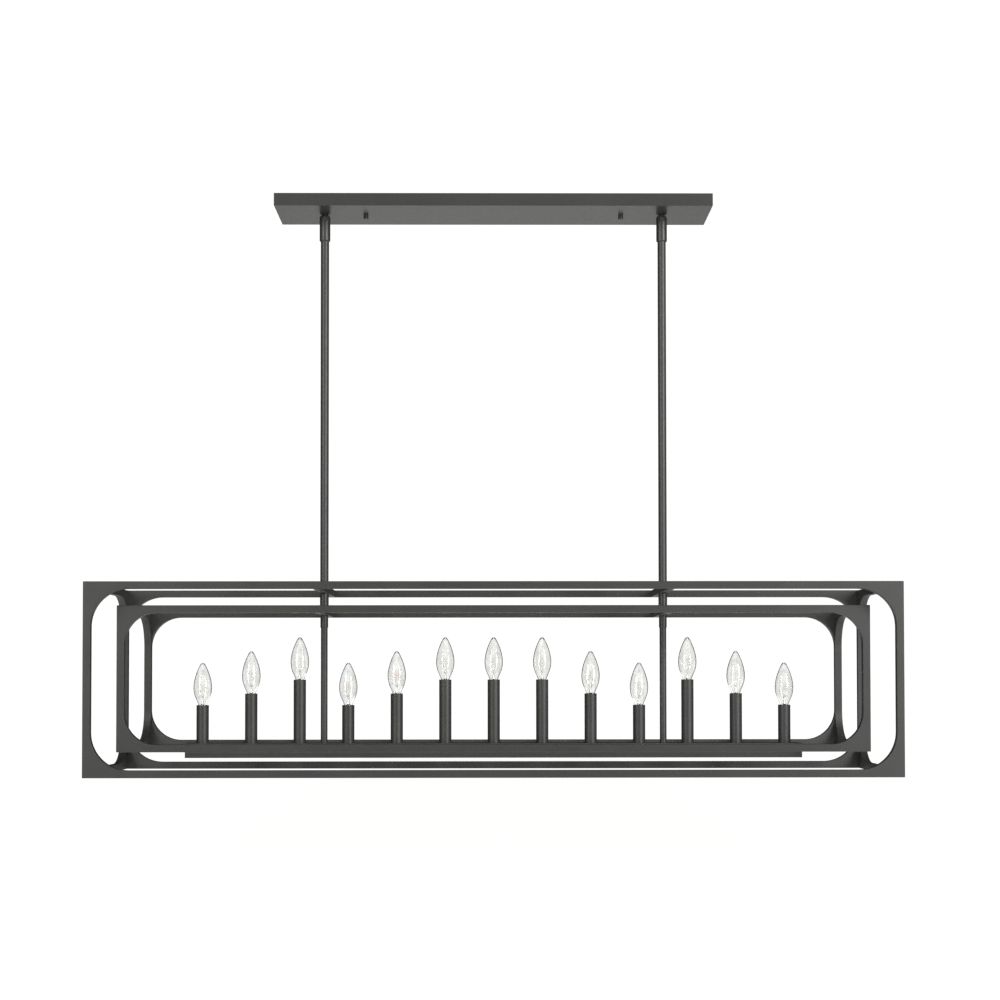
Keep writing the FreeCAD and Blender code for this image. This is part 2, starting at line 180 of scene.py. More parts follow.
@dataclass(frozen=True)
class Finish:
    """A surface as its maker leaves it: a base colour that drifts a little, over a fine relief.

    The colour goes from colour to tint in patches of patch millimetres. The relief is a noise of
    grain millimetres that is relief millimetres deep, and the roughness goes up and down by
    spread with it. A noise keeps near its middle, so each span says between which of its values
    the change from one end to the other happens. Glow is the strength of the surface's own light.
    """

    name: str
    colour: str
    tint: str
    roughness: float
    spread: float = 0.05
    patch: float = 60.0
    grain: float = 1.0
    relief: float = 0.01
    detail: float = 3.0
    metallic: float = 0.0
    ior: float = 1.5
    transmission: float = 0.0
    glow: float = 0.0
    stretch: Point = (1.0, 1.0, 1.0)
    patch_span: tuple[float, float] = (0.35, 0.65)
    grain_span: tuple[float, float] = (0.3, 0.7)

    def material(self) -> bpy.types.Material:
        """Return the finish as a Blender material, made once and shared after that."""
        return bpy.data.materials.get(self.name) or self.make()

    def make(self) -> bpy.types.Material:
        """Build the node tree.

        Returns:
            The new material.
        """
        made = bpy.data.materials.new(self.name)
        made.use_nodes = True
        tree = made.node_tree
        tree.nodes.clear()
        place = add_node(tree, "ShaderNodeTexCoord").outputs["Object"]
        drawn = add_node(tree, "ShaderNodeMapping", {"Scale": self.stretch},
                         {"Vector": place}).outputs[0]
        cloud = grained(tree, drawn, self.patch, detail=4.0, roughness=0.6)
        fine = grained(tree, drawn, self.grain, self.detail, roughness=0.55)
        blend = mapped(tree, cloud, 0.0, 1.0, self.patch_span)
        shade = add_node(tree, "ShaderNodeMix",
                         {"data_type": "RGBA", MIX_A: linear(self.colour),
                          MIX_B: linear(self.tint)}, {MIX_FACTOR: blend})
        rough = mapped(tree, fine, max(self.roughness - self.spread, 0.0),
                       self.roughness + self.spread, self.grain_span)
        bump = add_node(tree, "ShaderNodeBump",
                        {"Strength": 1.0, "Distance": self.relief * MM}, {"Height": fine})
        shader = add_node(tree, "ShaderNodeBsdfPrincipled",
                          {"Metallic": self.metallic, "IOR": self.ior,
                           "Transmission Weight": self.transmission,
                           "Emission Color": linear(self.colour),
                           "Emission Strength": self.glow},
                          {"Base Color": shade.outputs[MIX_RESULT], "Roughness": rough,
                           "Normal": bump.outputs[0]})
        add_node(tree, "ShaderNodeOutputMaterial", {}, {"Surface": shader.outputs[0]})
        return made


# Charcoal polyester powder, sprayed and baked on welded steel bar: an even matte grey whose
# melted beads leave a faint orange peel. The real peel is 1 mm wide, drawn as 3 mm to show.
POWDER_COAT = Finish("charcoal_powder_coat", "2e2e2c", "333331", 0.46, 0.05, 90.0, 3.0, 0.006)

# The same powder on folded sheet, baked flatter: long soft reflections on a satin face.
SATIN_POWDER = Finish("satin_charcoal_powder_on_sheet", "2e2e2c", "333331", 0.33, 0.04, 140.0,
                      4.0, 0.005)

# Turned caps and cups under the same powder: smoother and a little glossier, with a finer peel.
TURNED_POWDER = Finish("charcoal_powder_on_turned_steel", "2d2d2b", "343432", 0.4, 0.05, 30.0,
                       2.0, 0.004)

# The same powder on a small screw head, a shade paler: a painted highlight that sets the head off
# against the knuckle.
SCREW_POWDER_PAINTED_HIGHLIGHT = Finish("screw_head_powder_painted_highlight", "3c3c3a", "484846", 0.34, 0.06, 6.0, 1.0,
                      0.004)

# Zinc, plated on cut steel and left to dull: blue-grey with small crystals that mottle the shine.
ZINC = Finish("dulled_zinc_plate", "7f8388", "72767a", 0.62, 0.1, 8.0, 1.0, 0.01, metallic=1.0)

# Brass sheet, drawn and rolled into a thread: warm yellow with fine rolling lines round it.
BRASS = Finish("rolled_brass", "c9a258", "b88f49", 0.26, 0.08, 6.0, 0.8, 0.008, metallic=1.0,
               stretch=(0.3, 0.3, 3.0))

# Phenolic, pressed in a hot mould: bone white, dull, with a fine powdery grain.
PHENOLIC = Finish("moulded_phenolic", "d0c9b8", "c6bea9", 0.5, 0.08, 10.0, 0.6, 0.01)

# Soft PVC, drawn over copper: a black sheath with a waxy shine.
SHEATH = Finish("extruded_pvc_sheath", "1b1b1c", "222224", 0.4, 0.08, 12.0, 1.2, 0.01)

# Nylon, injected into a ribbed mould: orange, with a fine spark-eroded grain.
NYLON = Finish("moulded_nylon", "c96a24", "bd5f1c", 0.45, 0.08, 8.0, 0.5, 0.02)

# Soda-lime glass, blown into a mould: clear, with upright darker streaks in its colour, a painted
# reflection of the dim room and the dark bars round it.
GLASS = Finish("clear_glass_painted_reflection_streaks", "fcfcfb", "e9e9e7", 0.0, 0.0, 7.0, 12.0, 0.008,
               detail=1.0, transmission=1.0, stretch=(1.0, 1.0, 0.22))

# Lead glass, drawn and pressed round the wires: clear, with drawn streaks.
STEM_GLASS = Finish("pressed_stem_glass", "eef1f0", "e2e5e2", 0.03, 0.02, 4.0, 2.0, 0.02,
                    transmission=1.0, ior=1.56, stretch=(2.0, 2.0, 0.4))

# Vitrite, black glass poured into the cap: a glossy dark ring round the contact.
VITRITE = Finish("poured_black_glass", "141416", "1c1c20", 0.15, 0.05, 5.0, 1.0, 0.01)

# Tin solder, dropped on the cap's eyelet: dull silver with a frosty skin.
SOLDER = Finish("tin_solder", "a7a6a2", "98968f", 0.4, 0.12, 3.0, 0.5, 0.02, metallic=1.0)

# Nickel-plated iron lead wire: thin, bright grey.
LEAD_WIRE = Finish("nickel_lead_wire", "9a948a", "857d71", 0.3, 0.06, 2.0, 0.5, 0.004,
                   metallic=1.0)

# Tungsten, wound into a coil and barely lit: a warm tan wire against the backdrop.
TUNGSTEN = Finish("warm_tungsten_coil", "d9b48a", "c9a078", 0.45, 0.08, 1.5, 0.4, 0.004,
                  metallic=1.0, glow=0.6)

# Studio paper: matte white, with a hint of fibre.
PAPER = Finish("white_studio_paper", "fbfbfa", "f8f8f7", 0.85, 0.05, 400.0, 20.0, 0.02)


# Surfaces worked out with numpy


@dataclass
class Surface:
    """A skin: points in millimetres, and quads of point numbers.

    Each quad has the number of its finish, and each point has the marks of its rounded edges.
    """

    points: np.ndarray
    faces: np.ndarray
    finish: np.ndarray | None = None
    rounded: np.ndarray | None = None

    def __post_init__(self) -> None:
        """Give every quad the first finish, and mark no point, where nothing is said."""
        if self.finish is None:
            self.finish = np.zeros(len(self.faces), np.int32)
        if self.rounded is None:
            self.rounded = np.zeros(len(self.points), np.int32)

    def moved(self, x: float = 0.0, y: float = 0.0, z: float = 0.0) -> "Surface":
        """Return the surface moved by x, y and z."""
        return replace(self, points=self.points + np.array([x, y, z]))

    def dressed(self, number: int) -> "Surface":
        """Return the surface with every quad in finish number."""
        return replace(self, finish=np.full(len(self.faces), number, np.int32))


def joined(parts: list[Surface]) -> Surface:
    """Put several surfaces into one: each one's point numbers go up by the points before it."""
    starts = np.cumsum([0] + [len(p.points) for p in parts[:-1]])
    return Surface(np.concatenate([p.points for p in parts]),
                   np.concatenate([p.faces + s for p, s in zip(parts, starts)]),
                   np.concatenate([p.finish for p in parts]),
                   np.concatenate([p.rounded for p in parts]))


def grid_faces(rows: int, columns: int, closed: bool) -> np.ndarray:
    """Number the quads of a grid of points.

    Quad (i, j) joins the points (i, j), (i, j+1), (i+1, j+1) and (i+1, j), where j+1 wraps to 0
    after the last column of a closed grid.

    Args:
        rows: Rows of points.
        columns: Points in a row.
        closed: Whether the last column joins the first.

    Returns:
        One row of four point numbers for each quad.
    """
    i, j = np.meshgrid(np.arange(rows - 1), np.arange(columns if closed else columns - 1),
                       indexing="ij")
    k = (j + 1) % columns
    corners = [i * columns + j, i * columns + k, (i + 1) * columns + k, (i + 1) * columns + j]
    return np.stack(corners, -1).reshape(-1, 4)


def around(steps: int) -> np.ndarray:
    """Return the angles of steps points that stand evenly around a circle."""
    return np.linspace(0.0, 2 * math.pi, steps, endpoint=False)


def turned(profile: np.ndarray, steps: int = 64) -> Surface:
    """Turn a profile about the upright axis.

    Point (u, v) is (r(u) cos v, r(u) sin v, z(u)). A profile that climbs on its outside faces
    outwards.

    Args:
        profile: Rows of radius and height.
        steps: Points around the axis.

    Returns:
        The surface, closed where the profile starts and ends on the axis or at one point.
    """
    profile = np.asarray(profile, float)
    angle = around(steps)
    radius, height = profile[:, :1], profile[:, 1:]
    points = np.stack([radius * np.cos(angle), radius * np.sin(angle),
                       np.broadcast_to(height, (len(profile), steps))], -1)
    return Surface(points.reshape(-1, 3), grid_faces(len(profile), steps, True))


def tube(outer: float, bore: float, low: float, high: float) -> Surface:
    """Return an upright tube: the rectangle bore..outer by low..high, turned about the axis."""
    return turned(np.array([(bore, low), (outer, low), (outer, high), (bore, high),
                            (bore, low)]))


def ringed(rings: list[tuple[float, float, float]]) -> Surface:
    """Join level rectangles into one skin.

    Ring k has the corners (+-a, +-b, z) of its half length a, half width b and height z, and
    each two rings that follow each other are joined by four quads. A ring of no size closes the
    skin with four triangles.

    Args:
        rings: Half length, half width and height of each, climbing on the outside.

    Returns:
        The skin.
    """
    sizes = np.array(rings, float)
    corner = np.array([(-1, -1), (1, -1), (1, 1), (-1, 1)], float)
    flat = sizes[:, None, :2] * corner[None]
    level = np.broadcast_to(sizes[:, None, 2:], (len(sizes), len(corner), 1))
    points = np.concatenate([flat, level], -1).reshape(-1, 3)
    return Surface(points, grid_faces(len(sizes), len(corner), True))


def carried(path: np.ndarray, radius: np.ndarray, steps: int) -> Surface:
    """Carry a circle along a path in an upright plane through X.

    With T the path's direction, B the plane's normal and N = B x T, point (u, v) is
    P(u) + r(u) (N cos v + B sin v). Both ends close on the path.

    Args:
        path: Rows of x, y and z.
        radius: Radius at each row.
        steps: Points around the circle.

    Returns:
        The closed tube.
    """
    path = np.concatenate([path[:1], path, path[-1:]])
    radius = np.concatenate([[0.0], radius, [0.0]])
    along = np.gradient(path, axis=0)
    along[:2], along[-2:] = along[2], along[-3]
    along /= np.linalg.norm(along, axis=1, keepdims=True)
    flat = np.array([0.0, 1.0, 0.0])
    across = np.cross(flat, along)
    angle = around(steps)[None, :, None]
    points = path[:, None] + radius[:, None, None] * (across[:, None] * np.cos(angle)
                                                      + flat * np.sin(angle))
    return Surface(points.reshape(-1, 3), grid_faces(len(path), steps, True))


def smoothed(points: np.ndarray, count: int) -> np.ndarray:
    """Draw an even curve through points.

    Between neighbours P0 and P1 the curve is the cubic with the slopes M0 and M1, each half of
    the step from the point before to the point after:
    (2s3-3s2+1) P0 + (s3-2s2+s) M0 + (3s2-2s3) P1 + (s3-s2) M1, where s goes from 0 to 1.

    Args:
        points: Rows of coordinates.
        count: Steps between two neighbours.

    Returns:
        Rows of coordinates along the curve, both ends among them.
    """
    slope = np.gradient(points, axis=0)
    s = np.linspace(0.0, 1.0, count, endpoint=False)[None, :, None]
    start, end = points[:-1, None], points[1:, None]
    leave, arrive = slope[:-1, None], slope[1:, None]
    curve = ((2 * s**3 - 3 * s**2 + 1) * start + (s**3 - 2 * s**2 + s) * leave
             + (3 * s**2 - 2 * s**3) * end + (s**3 - s**2) * arrive)
    return np.concatenate([curve.reshape(-1, points.shape[1]), points[-1:]])


# Pieces


def write_mesh(name: str, surface: Surface) -> bpy.types.Mesh:
    """Write a surface as a mesh.

    Points at one place become one, quads lose their doubled corners, and what keeps fewer than
    three is dropped. An edge whose two ends carry a common mark gets the bevel weight one.

    Args:
        name: Name of the mesh.
        surface: The surface, in millimetres.

    Returns:
        The mesh, in metres.
    """
    # Adding zero turns a negative zero into a plain one, so that both are one place.
    keys = np.round(surface.points, PLACE_DIGITS) + 0.0
    _, first, place = np.unique(keys, axis=0, return_index=True, return_inverse=True)
    place = place.reshape(-1)
    marks = np.zeros(len(first), np.int32)
    np.bitwise_or.at(marks, place, surface.rounded)
    faces = place[surface.faces]
    keep = faces != np.roll(faces, 1, axis=1)
    whole = keep.sum(1) >= 3
    faces, keep, finish = faces[whole], keep[whole], surface.finish[whole]
    counts = keep.sum(1)
    mesh = bpy.data.meshes.new(name)
    mesh.vertices.add(len(first))
    mesh.vertices.foreach_set("co", (surface.points[first] * MM).astype(np.float32).ravel())
    mesh.loops.add(int(counts.sum()))
    mesh.loops.foreach_set("vertex_index", faces[keep].astype(np.int32))
    mesh.polygons.add(len(counts))
    starts = np.concatenate([[0], np.cumsum(counts)[:-1]]).astype(np.int32)
    mesh.polygons.foreach_set("loop_start", starts)
    mesh.polygons.foreach_set("material_index", finish.astype(np.int32))
    mesh.polygons.foreach_set("use_smooth", np.ones(len(counts), bool))
    mesh.update(calc_edges=True)
    if marks.any():
        ends = np.zeros(len(mesh.edges) * 2, np.int32)
        mesh.edges.foreach_get("vertices", ends)
        ends = ends.reshape(-1, 2)
        common = (marks[ends[:, 0]] & marks[ends[:, 1]]) != 0
        weight = mesh.attributes.new("bevel_weight_edge", "FLOAT", "EDGE")
        weight.data.foreach_set("value", common.astype(np.float32))
        mark_sharp(mesh, ~common)
    return mesh


def mark_sharp(mesh: bpy.types.Mesh, allowed: np.ndarray) -> None:
    """Mark the allowed edges whose two faces turn by more than the faces of a curve.

    The loops are sorted by their edge, so that each edge's two face normals stand together, and
    their dot product is compared with the cosine.

    Args:
        mesh: A closed mesh.
        allowed: One flag for each edge.
    """
    edge = np.zeros(len(mesh.loops), np.int32)
    mesh.loops.foreach_get("edge_index", edge)
    total = np.zeros(len(mesh.polygons), np.int32)
    mesh.polygons.foreach_get("loop_total", total)
    normal = np.zeros(len(mesh.polygons) * 3, np.float32)
    mesh.polygons.foreach_get("normal", normal)
    face = np.repeat(np.arange(len(total)), total)[np.argsort(edge, kind="stable")]
    pair = normal.reshape(-1, 3)[face.reshape(-1, 2)]
    turn = (pair[:, 0] * pair[:, 1]).sum(1) < math.cos(CURVE_TURN)
    sharp = mesh.attributes.new("sharp_edge", "BOOLEAN", "EDGE")
    sharp.data.foreach_set("value", turn & allowed)


def make_piece(name: str, surface: Surface, body: str, finishes: list[Finish],
               edge: Edge = Edge.NONE, stands_for: tuple[str, ...] = ()) -> bpy.types.Object:
    """Make one finished piece that rides on a body.

    Args:
        name: Name of the piece.
        surface: Its surface, in millimetres.
        body: Body that it moves with.
        finishes: Its finishes, in the order of the surface's numbers.
        edge: How its edges are broken.
        stands_for: Nodes that it replaces.

    Returns:
        The object.
    """
    made = bpy.data.objects.new(name, write_mesh(name, surface))
    bpy.context.scene.collection.objects.link(made)
    for finish in finishes:
        made.data.materials.append(finish.material())
    if edge is not Edge.NONE:
        marked = bool(surface.rounded.any())
        bevel = made.modifiers.new("broken_edge", "BEVEL")
        bevel.width = edge.value * MM
        bevel.segments = BEVEL_STEPS
        bevel.harden_normals = True
        bevel.limit_method = "WEIGHT" if marked else "ANGLE"
        bevel.angle_limit = CURVE_TURN
        bevel.use_clamp_overlap = not marked
    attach(made, body)
    if stands_for:
        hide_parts(*stands_for)
    log.info("%s: %d faces on %s", name, len(made.data.polygons), body)
    return made


def dress(finish: Finish, *nodes: str) -> None:
    """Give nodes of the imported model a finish.

    Args:
        finish: The finish.
        *nodes: Names of the nodes.
    """
    for node in nodes:
        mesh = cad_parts[node].data
        mesh.materials.clear()
        mesh.materials.append(finish.material())
        log.info("%s: %s", node, finish.name)


class Wall(Enum):
    """The four walls of a cage: the x and y of the way along each one, seen from outside."""

    FRONT = (1.0, 0.0)
    RIGHT = (0.0, 1.0)
    BACK = (-1.0, 0.0)
    LEFT = (0.0, -1.0)


@dataclass
class Cage:
    """A welded open box of square bar, with quarter-round webs in the windows of its walls."""

    name: str
    length: float
    width: float
    height: float
    top: float
    radius: float
    bar: float = BAR
    rod_x: float = ROD_X
    arc_steps: int = 18

    def wall(self, side: Wall) -> Surface:
        """Work out one wall.

        Around a window run four loops of points: the inside rectangle, the window's edge inside,
        its edge outside, and the outside rectangle. With f from 0 to 1 over a corner, the window
        turns by the angle 90 f about the arc's centre, and a rectangle goes straight to its
        corner at f = 1/2 and straight on. Quads join each loop to the next, and the last to the
        first only along the top and the bottom.

        Args:
            side: Which wall.

        Returns:
            The wall, with one mark on its outside rectangle, one on the window's edge outside and
            one on the inside rectangle's edges along the top and the bottom, to round them.
        """
        east, north = side.value
        reach, depth, half = self.length / 2, self.width / 2, self.height / 2
        if side in (Wall.LEFT, Wall.RIGHT):
            reach, depth = depth, reach
        run, rise = reach - self.bar - self.radius, half - self.bar - self.radius
        f = np.tile(np.linspace(0.0, 1.0, self.arc_steps + 1), 4)
        quarter = np.repeat(np.arange(4), self.arc_steps + 1)
        angle = (quarter + f - 1) * math.pi / 2
        right = np.where((quarter == 0) | (quarter == 1), 1.0, -1.0)
        over = np.where((quarter == 1) | (quarter == 2), 1.0, -1.0)
        rising = quarter % 2 == 1
        upright = np.where(rising, np.minimum(2 * f, 1), np.minimum(2 - 2 * f, 1))
        level = np.where(rising, np.minimum(2 - 2 * f, 1), np.minimum(2 * f, 1))
        window = (right * run + self.radius * np.cos(angle),
                  over * rise + self.radius * np.sin(angle))
        edge_z = over * (rise + (half - rise) * upright)
        outside = (right * (run + (reach - run) * level), edge_z)
        inside = (right * (run + self.radius * level), edge_z)
        inner, outer = depth - self.bar, depth
        loops = [np.stack([east * h + north * out, north * h - east * out, z + self.top - half],
                          -1)
                 for (h, z), out in ((inside, inner), (window, inner), (window, outer),
                                     (outside, outer), (inside, inner))]
        count = len(f)
        faces = grid_faces(len(loops), count, True)[:, ::-1]
        loop, column = faces[:, 3] // count, faces[:, 3] % count
        rail = np.isclose(upright, 1.0)
        returns = loop == len(loops) - 2
        faces = faces[~returns | (rail[column] & rail[(column + 1) % count])]
        marks = np.zeros((len(loops), count), np.int32)
        marks[2], marks[3] = Mark.SECOND, Mark.FIRST
        marks[0, rail] = marks[-1, rail] = Mark.THIRD
        return Surface(np.concatenate(loops), faces, rounded=marks.ravel())

    def cross_bar(self, x: float) -> Surface:
        """Work out a bar between the long rails.

        Args:
            x: Where its middle is.

        Returns:
            The bar, with a mark of its own on each of its long edges, to round them.
        """
        side, reach, low = self.bar / 2, self.width / 2 - self.bar, self.top - self.bar
        bar = ringed([(0, 0, low), (side, reach, low), (side, reach, self.top),
                      (0, 0, self.top)]).moved(x)
        lower, right = bar.points[:, 2] < self.top, bar.points[:, 0] > x
        marks = np.where(lower, np.where(right, Mark.FIRST, Mark.SECOND),
                         np.where(right, Mark.THIRD, Mark.FOURTH))
        marks[bar.points[:, 0] == x] = 0
        return replace(bar, rounded=marks.astype(np.int32))

    def build(self) -> None:
        """Make the whole cage as one welded and coated piece."""
        parts = [self.wall(side) for side in Wall]
        parts += [self.cross_bar(x) for x in (-self.rod_x, self.rod_x)]
        nodes = [self.name + part for part in ("_long_rails", "_posts", "_end_rails",
                                               "_corner_webs", "_cross_bars")]
        make_piece(self.name + "_cage_welded", joined(parts), "pendant",
                   [POWDER_COAT], Edge.BAR, tuple(nodes))


@dataclass
class Canopy:
    """The folded pan against the ceiling, its knobs and what hangs inside it."""

    length: float = 762.0
    width: float = 133.4
    height: float = 22.0
    sheet: float = 1.5
    knob_x: float = 225.5
    knob_radius: float = 4.35
    knob_height: float = 6.9
    knob_face: float = 1.4
    knob_steps: int = 48
    hole_radius: float = 2.15
    dish: Outline = ((0.0, 0.35), (0.45, 0.3), (0.8, 0.0), (1.0, 0.0))

    def pan(self) -> Surface:
        """Return the pan: its outside from the middle of its floor up, over the rim and back."""
        a, b, t = self.length / 2, self.width / 2, self.sheet
        return ringed([(0, 0, -self.height), (a, b, -self.height), (a, b, 0),
                       (a - t, b - t, 0), (a - t, b - t, t - self.height),
                       (0, 0, t - self.height)])

    def knob(self) -> Surface:
        """Turn a knob: a plain drum with a blind hole, and a shallow dish under it.

        The dish's rows are a share of the knob's radius and a height over its lowest ring.

        Returns:
            The knob on the upright axis.
        """
        low, r = -self.height - self.knob_height, self.knob_radius
        dish = np.array(self.dish) * [r, 1.0] + [0.0, low]
        hole = [(r, -self.height), (self.hole_radius, -self.height),
                (self.hole_radius, low + self.knob_face), (0.0, low + self.knob_face)]
        return turned(np.concatenate([dish, hole]), self.knob_steps)

    def build(self) -> None:
        """Make the pan and the knobs, and dress the hardware."""
        make_piece("canopy_pan_folded", self.pan(), "canopy", [SATIN_POWDER],
                   Edge.FOLDED, ("canopy_pan",))
        for side, x in (("left", -self.knob_x), ("right", self.knob_x)):
            make_piece(f"cap_knob_{side}_turned", self.knob().moved(x), f"cap_knob_{side}_body",
                       [TURNED_POWDER], Edge.DEBURRED, (f"cap_knob_{side}",))
        dress(ZINC, "mounting_strap", "canopy_studs", "stud_nuts", "ball_stems", "stem_washers",
              "stem_nuts", "ground_screw")
        dress(SHEATH, "canopy_leads")
        dress(NYLON, "wire_connectors")


@dataclass
class RodLine:
    """Everything threaded on the line of a rod, from under the knuckle down to the tray."""

    x: float = ROD_X
    rod_radius: float = 7.3
    rod_wall: float = 1.2
    pipe_radius: float = 4.8
    knuckle_low: float = -69.0
    outer_top: float = OUTER_TOP
    inner_top: float = INNER_TOP
    bar: float = BAR
    spacer_radius: float = 7.7
    collar_radius: float = 6.85
    collar_low: float = -752.6
    stem_radius: float = 5.95
    tray_top: float = TRAY_TOP

    def build(self) -> None:
        """Make both lines, and dress their screws and threaded pipes."""
        r = self.rod_radius
        under_outer, under_inner = self.outer_top - self.bar, self.inner_top - self.bar
        pieces = (
            ("straight_rod", tube(r, r - self.rod_wall, self.outer_top, self.knuckle_low),
             "rods", POWDER_COAT, Edge.DEBURRED),
            ("cage_spacer", tube(self.spacer_radius, self.pipe_radius, self.inner_top,
                                 under_outer), "cage_spacers", TURNED_POWDER, Edge.COATED),
            ("cage_collar", tube(self.collar_radius, self.pipe_radius, self.collar_low,
                                 under_inner), "cage_collars", TURNED_POWDER, Edge.COATED),
            ("lower_stem", tube(self.stem_radius, self.pipe_radius, self.tray_top,
                                self.collar_low), "lower_stems", POWDER_COAT, Edge.DEBURRED),
        )
        for name, surface, node, finish, edge in pieces:
            pair = joined([surface.moved(x) for x in (-self.x, self.x)])
            make_piece(name + "_pair", pair, "pendant", [finish], edge, (node,))
        dress(TURNED_POWDER, "swivel_knuckles")
        # The lock screw heads carry a painted highlight: their powder is a shade paler.
        dress(SCREW_POWDER_PAINTED_HIGHLIGHT, "lock_screws")
        dress(ZINC, "knuckle_nipples", "rod_bushings", "through_nipples")


class Rise(Enum):
    """The three heights of a sleeve's mouth, in millimetres from the ceiling."""

    LOW = -888.5
    MIDDLE = -868.3
    HIGH = -843.8


@dataclass
class Tray:
    """The long folded channel under the candles, with the candle sleeves on it."""

    length: float = 1078.6
    width: float = 38.1
    top: float = TRAY_TOP
    low: float = -980.4
    sheet: float = 1.2
    pitch: float = 85.2
    sleeve_radius: float = 10.8
    sleeve_wall: float = 1.2
    rises: tuple[Rise, ...] = (
        Rise.LOW, Rise.MIDDLE, Rise.HIGH, Rise.LOW, Rise.MIDDLE, Rise.HIGH, Rise.HIGH, Rise.HIGH,
        Rise.MIDDLE, Rise.LOW, Rise.HIGH, Rise.MIDDLE, Rise.LOW)

    def place(self, index: int) -> float:
        """Return the x of a candle, counted from the left."""
        return (index - (len(self.rises) - 1) / 2) * self.pitch

    def channel(self) -> Surface:
        """Return the channel: from inside its ceiling down, round its lower rim and over."""
        a, b, t = self.length / 2, self.width / 2, self.sheet
        return ringed([(0, 0, self.top - t), (a - t, b - t, self.top - t),
                       (a - t, b - t, self.low), (a, b, self.low), (a, b, self.top),
                       (0, 0, self.top)])

    def sleeves(self) -> Surface:
        """Return all the sleeves: plain cut tubes that stand on the tray."""
        r = self.sleeve_radius
        return joined([tube(r, r - self.sleeve_wall, self.top, rise.value).moved(self.place(i))
                       for i, rise in enumerate(self.rises)])

    def build(self) -> None:
        """Make the channel and the sleeves, and dress what they hide."""
        make_piece("tray_channel_folded", self.channel(), "pendant", [POWDER_COAT],
                   Edge.COATED, ("tray_channel",))
        make_piece("candle_sleeves_cut", self.sleeves(), "pendant", [POWDER_COAT],
                   Edge.DEBURRED, ("candle_sleeves",))
        dress(POWDER_COAT, "tray_cover")
        dress(ZINC, "cover_screws", "cover_standoffs", "tray_nipples", "tray_nuts",
              "socket_posts", "socket_nuts")
        dress(SHEATH, "tray_leads")
        dress(PHENOLIC, "socket_bodies")
        dress(BRASS, "socket_shells", "socket_contacts")


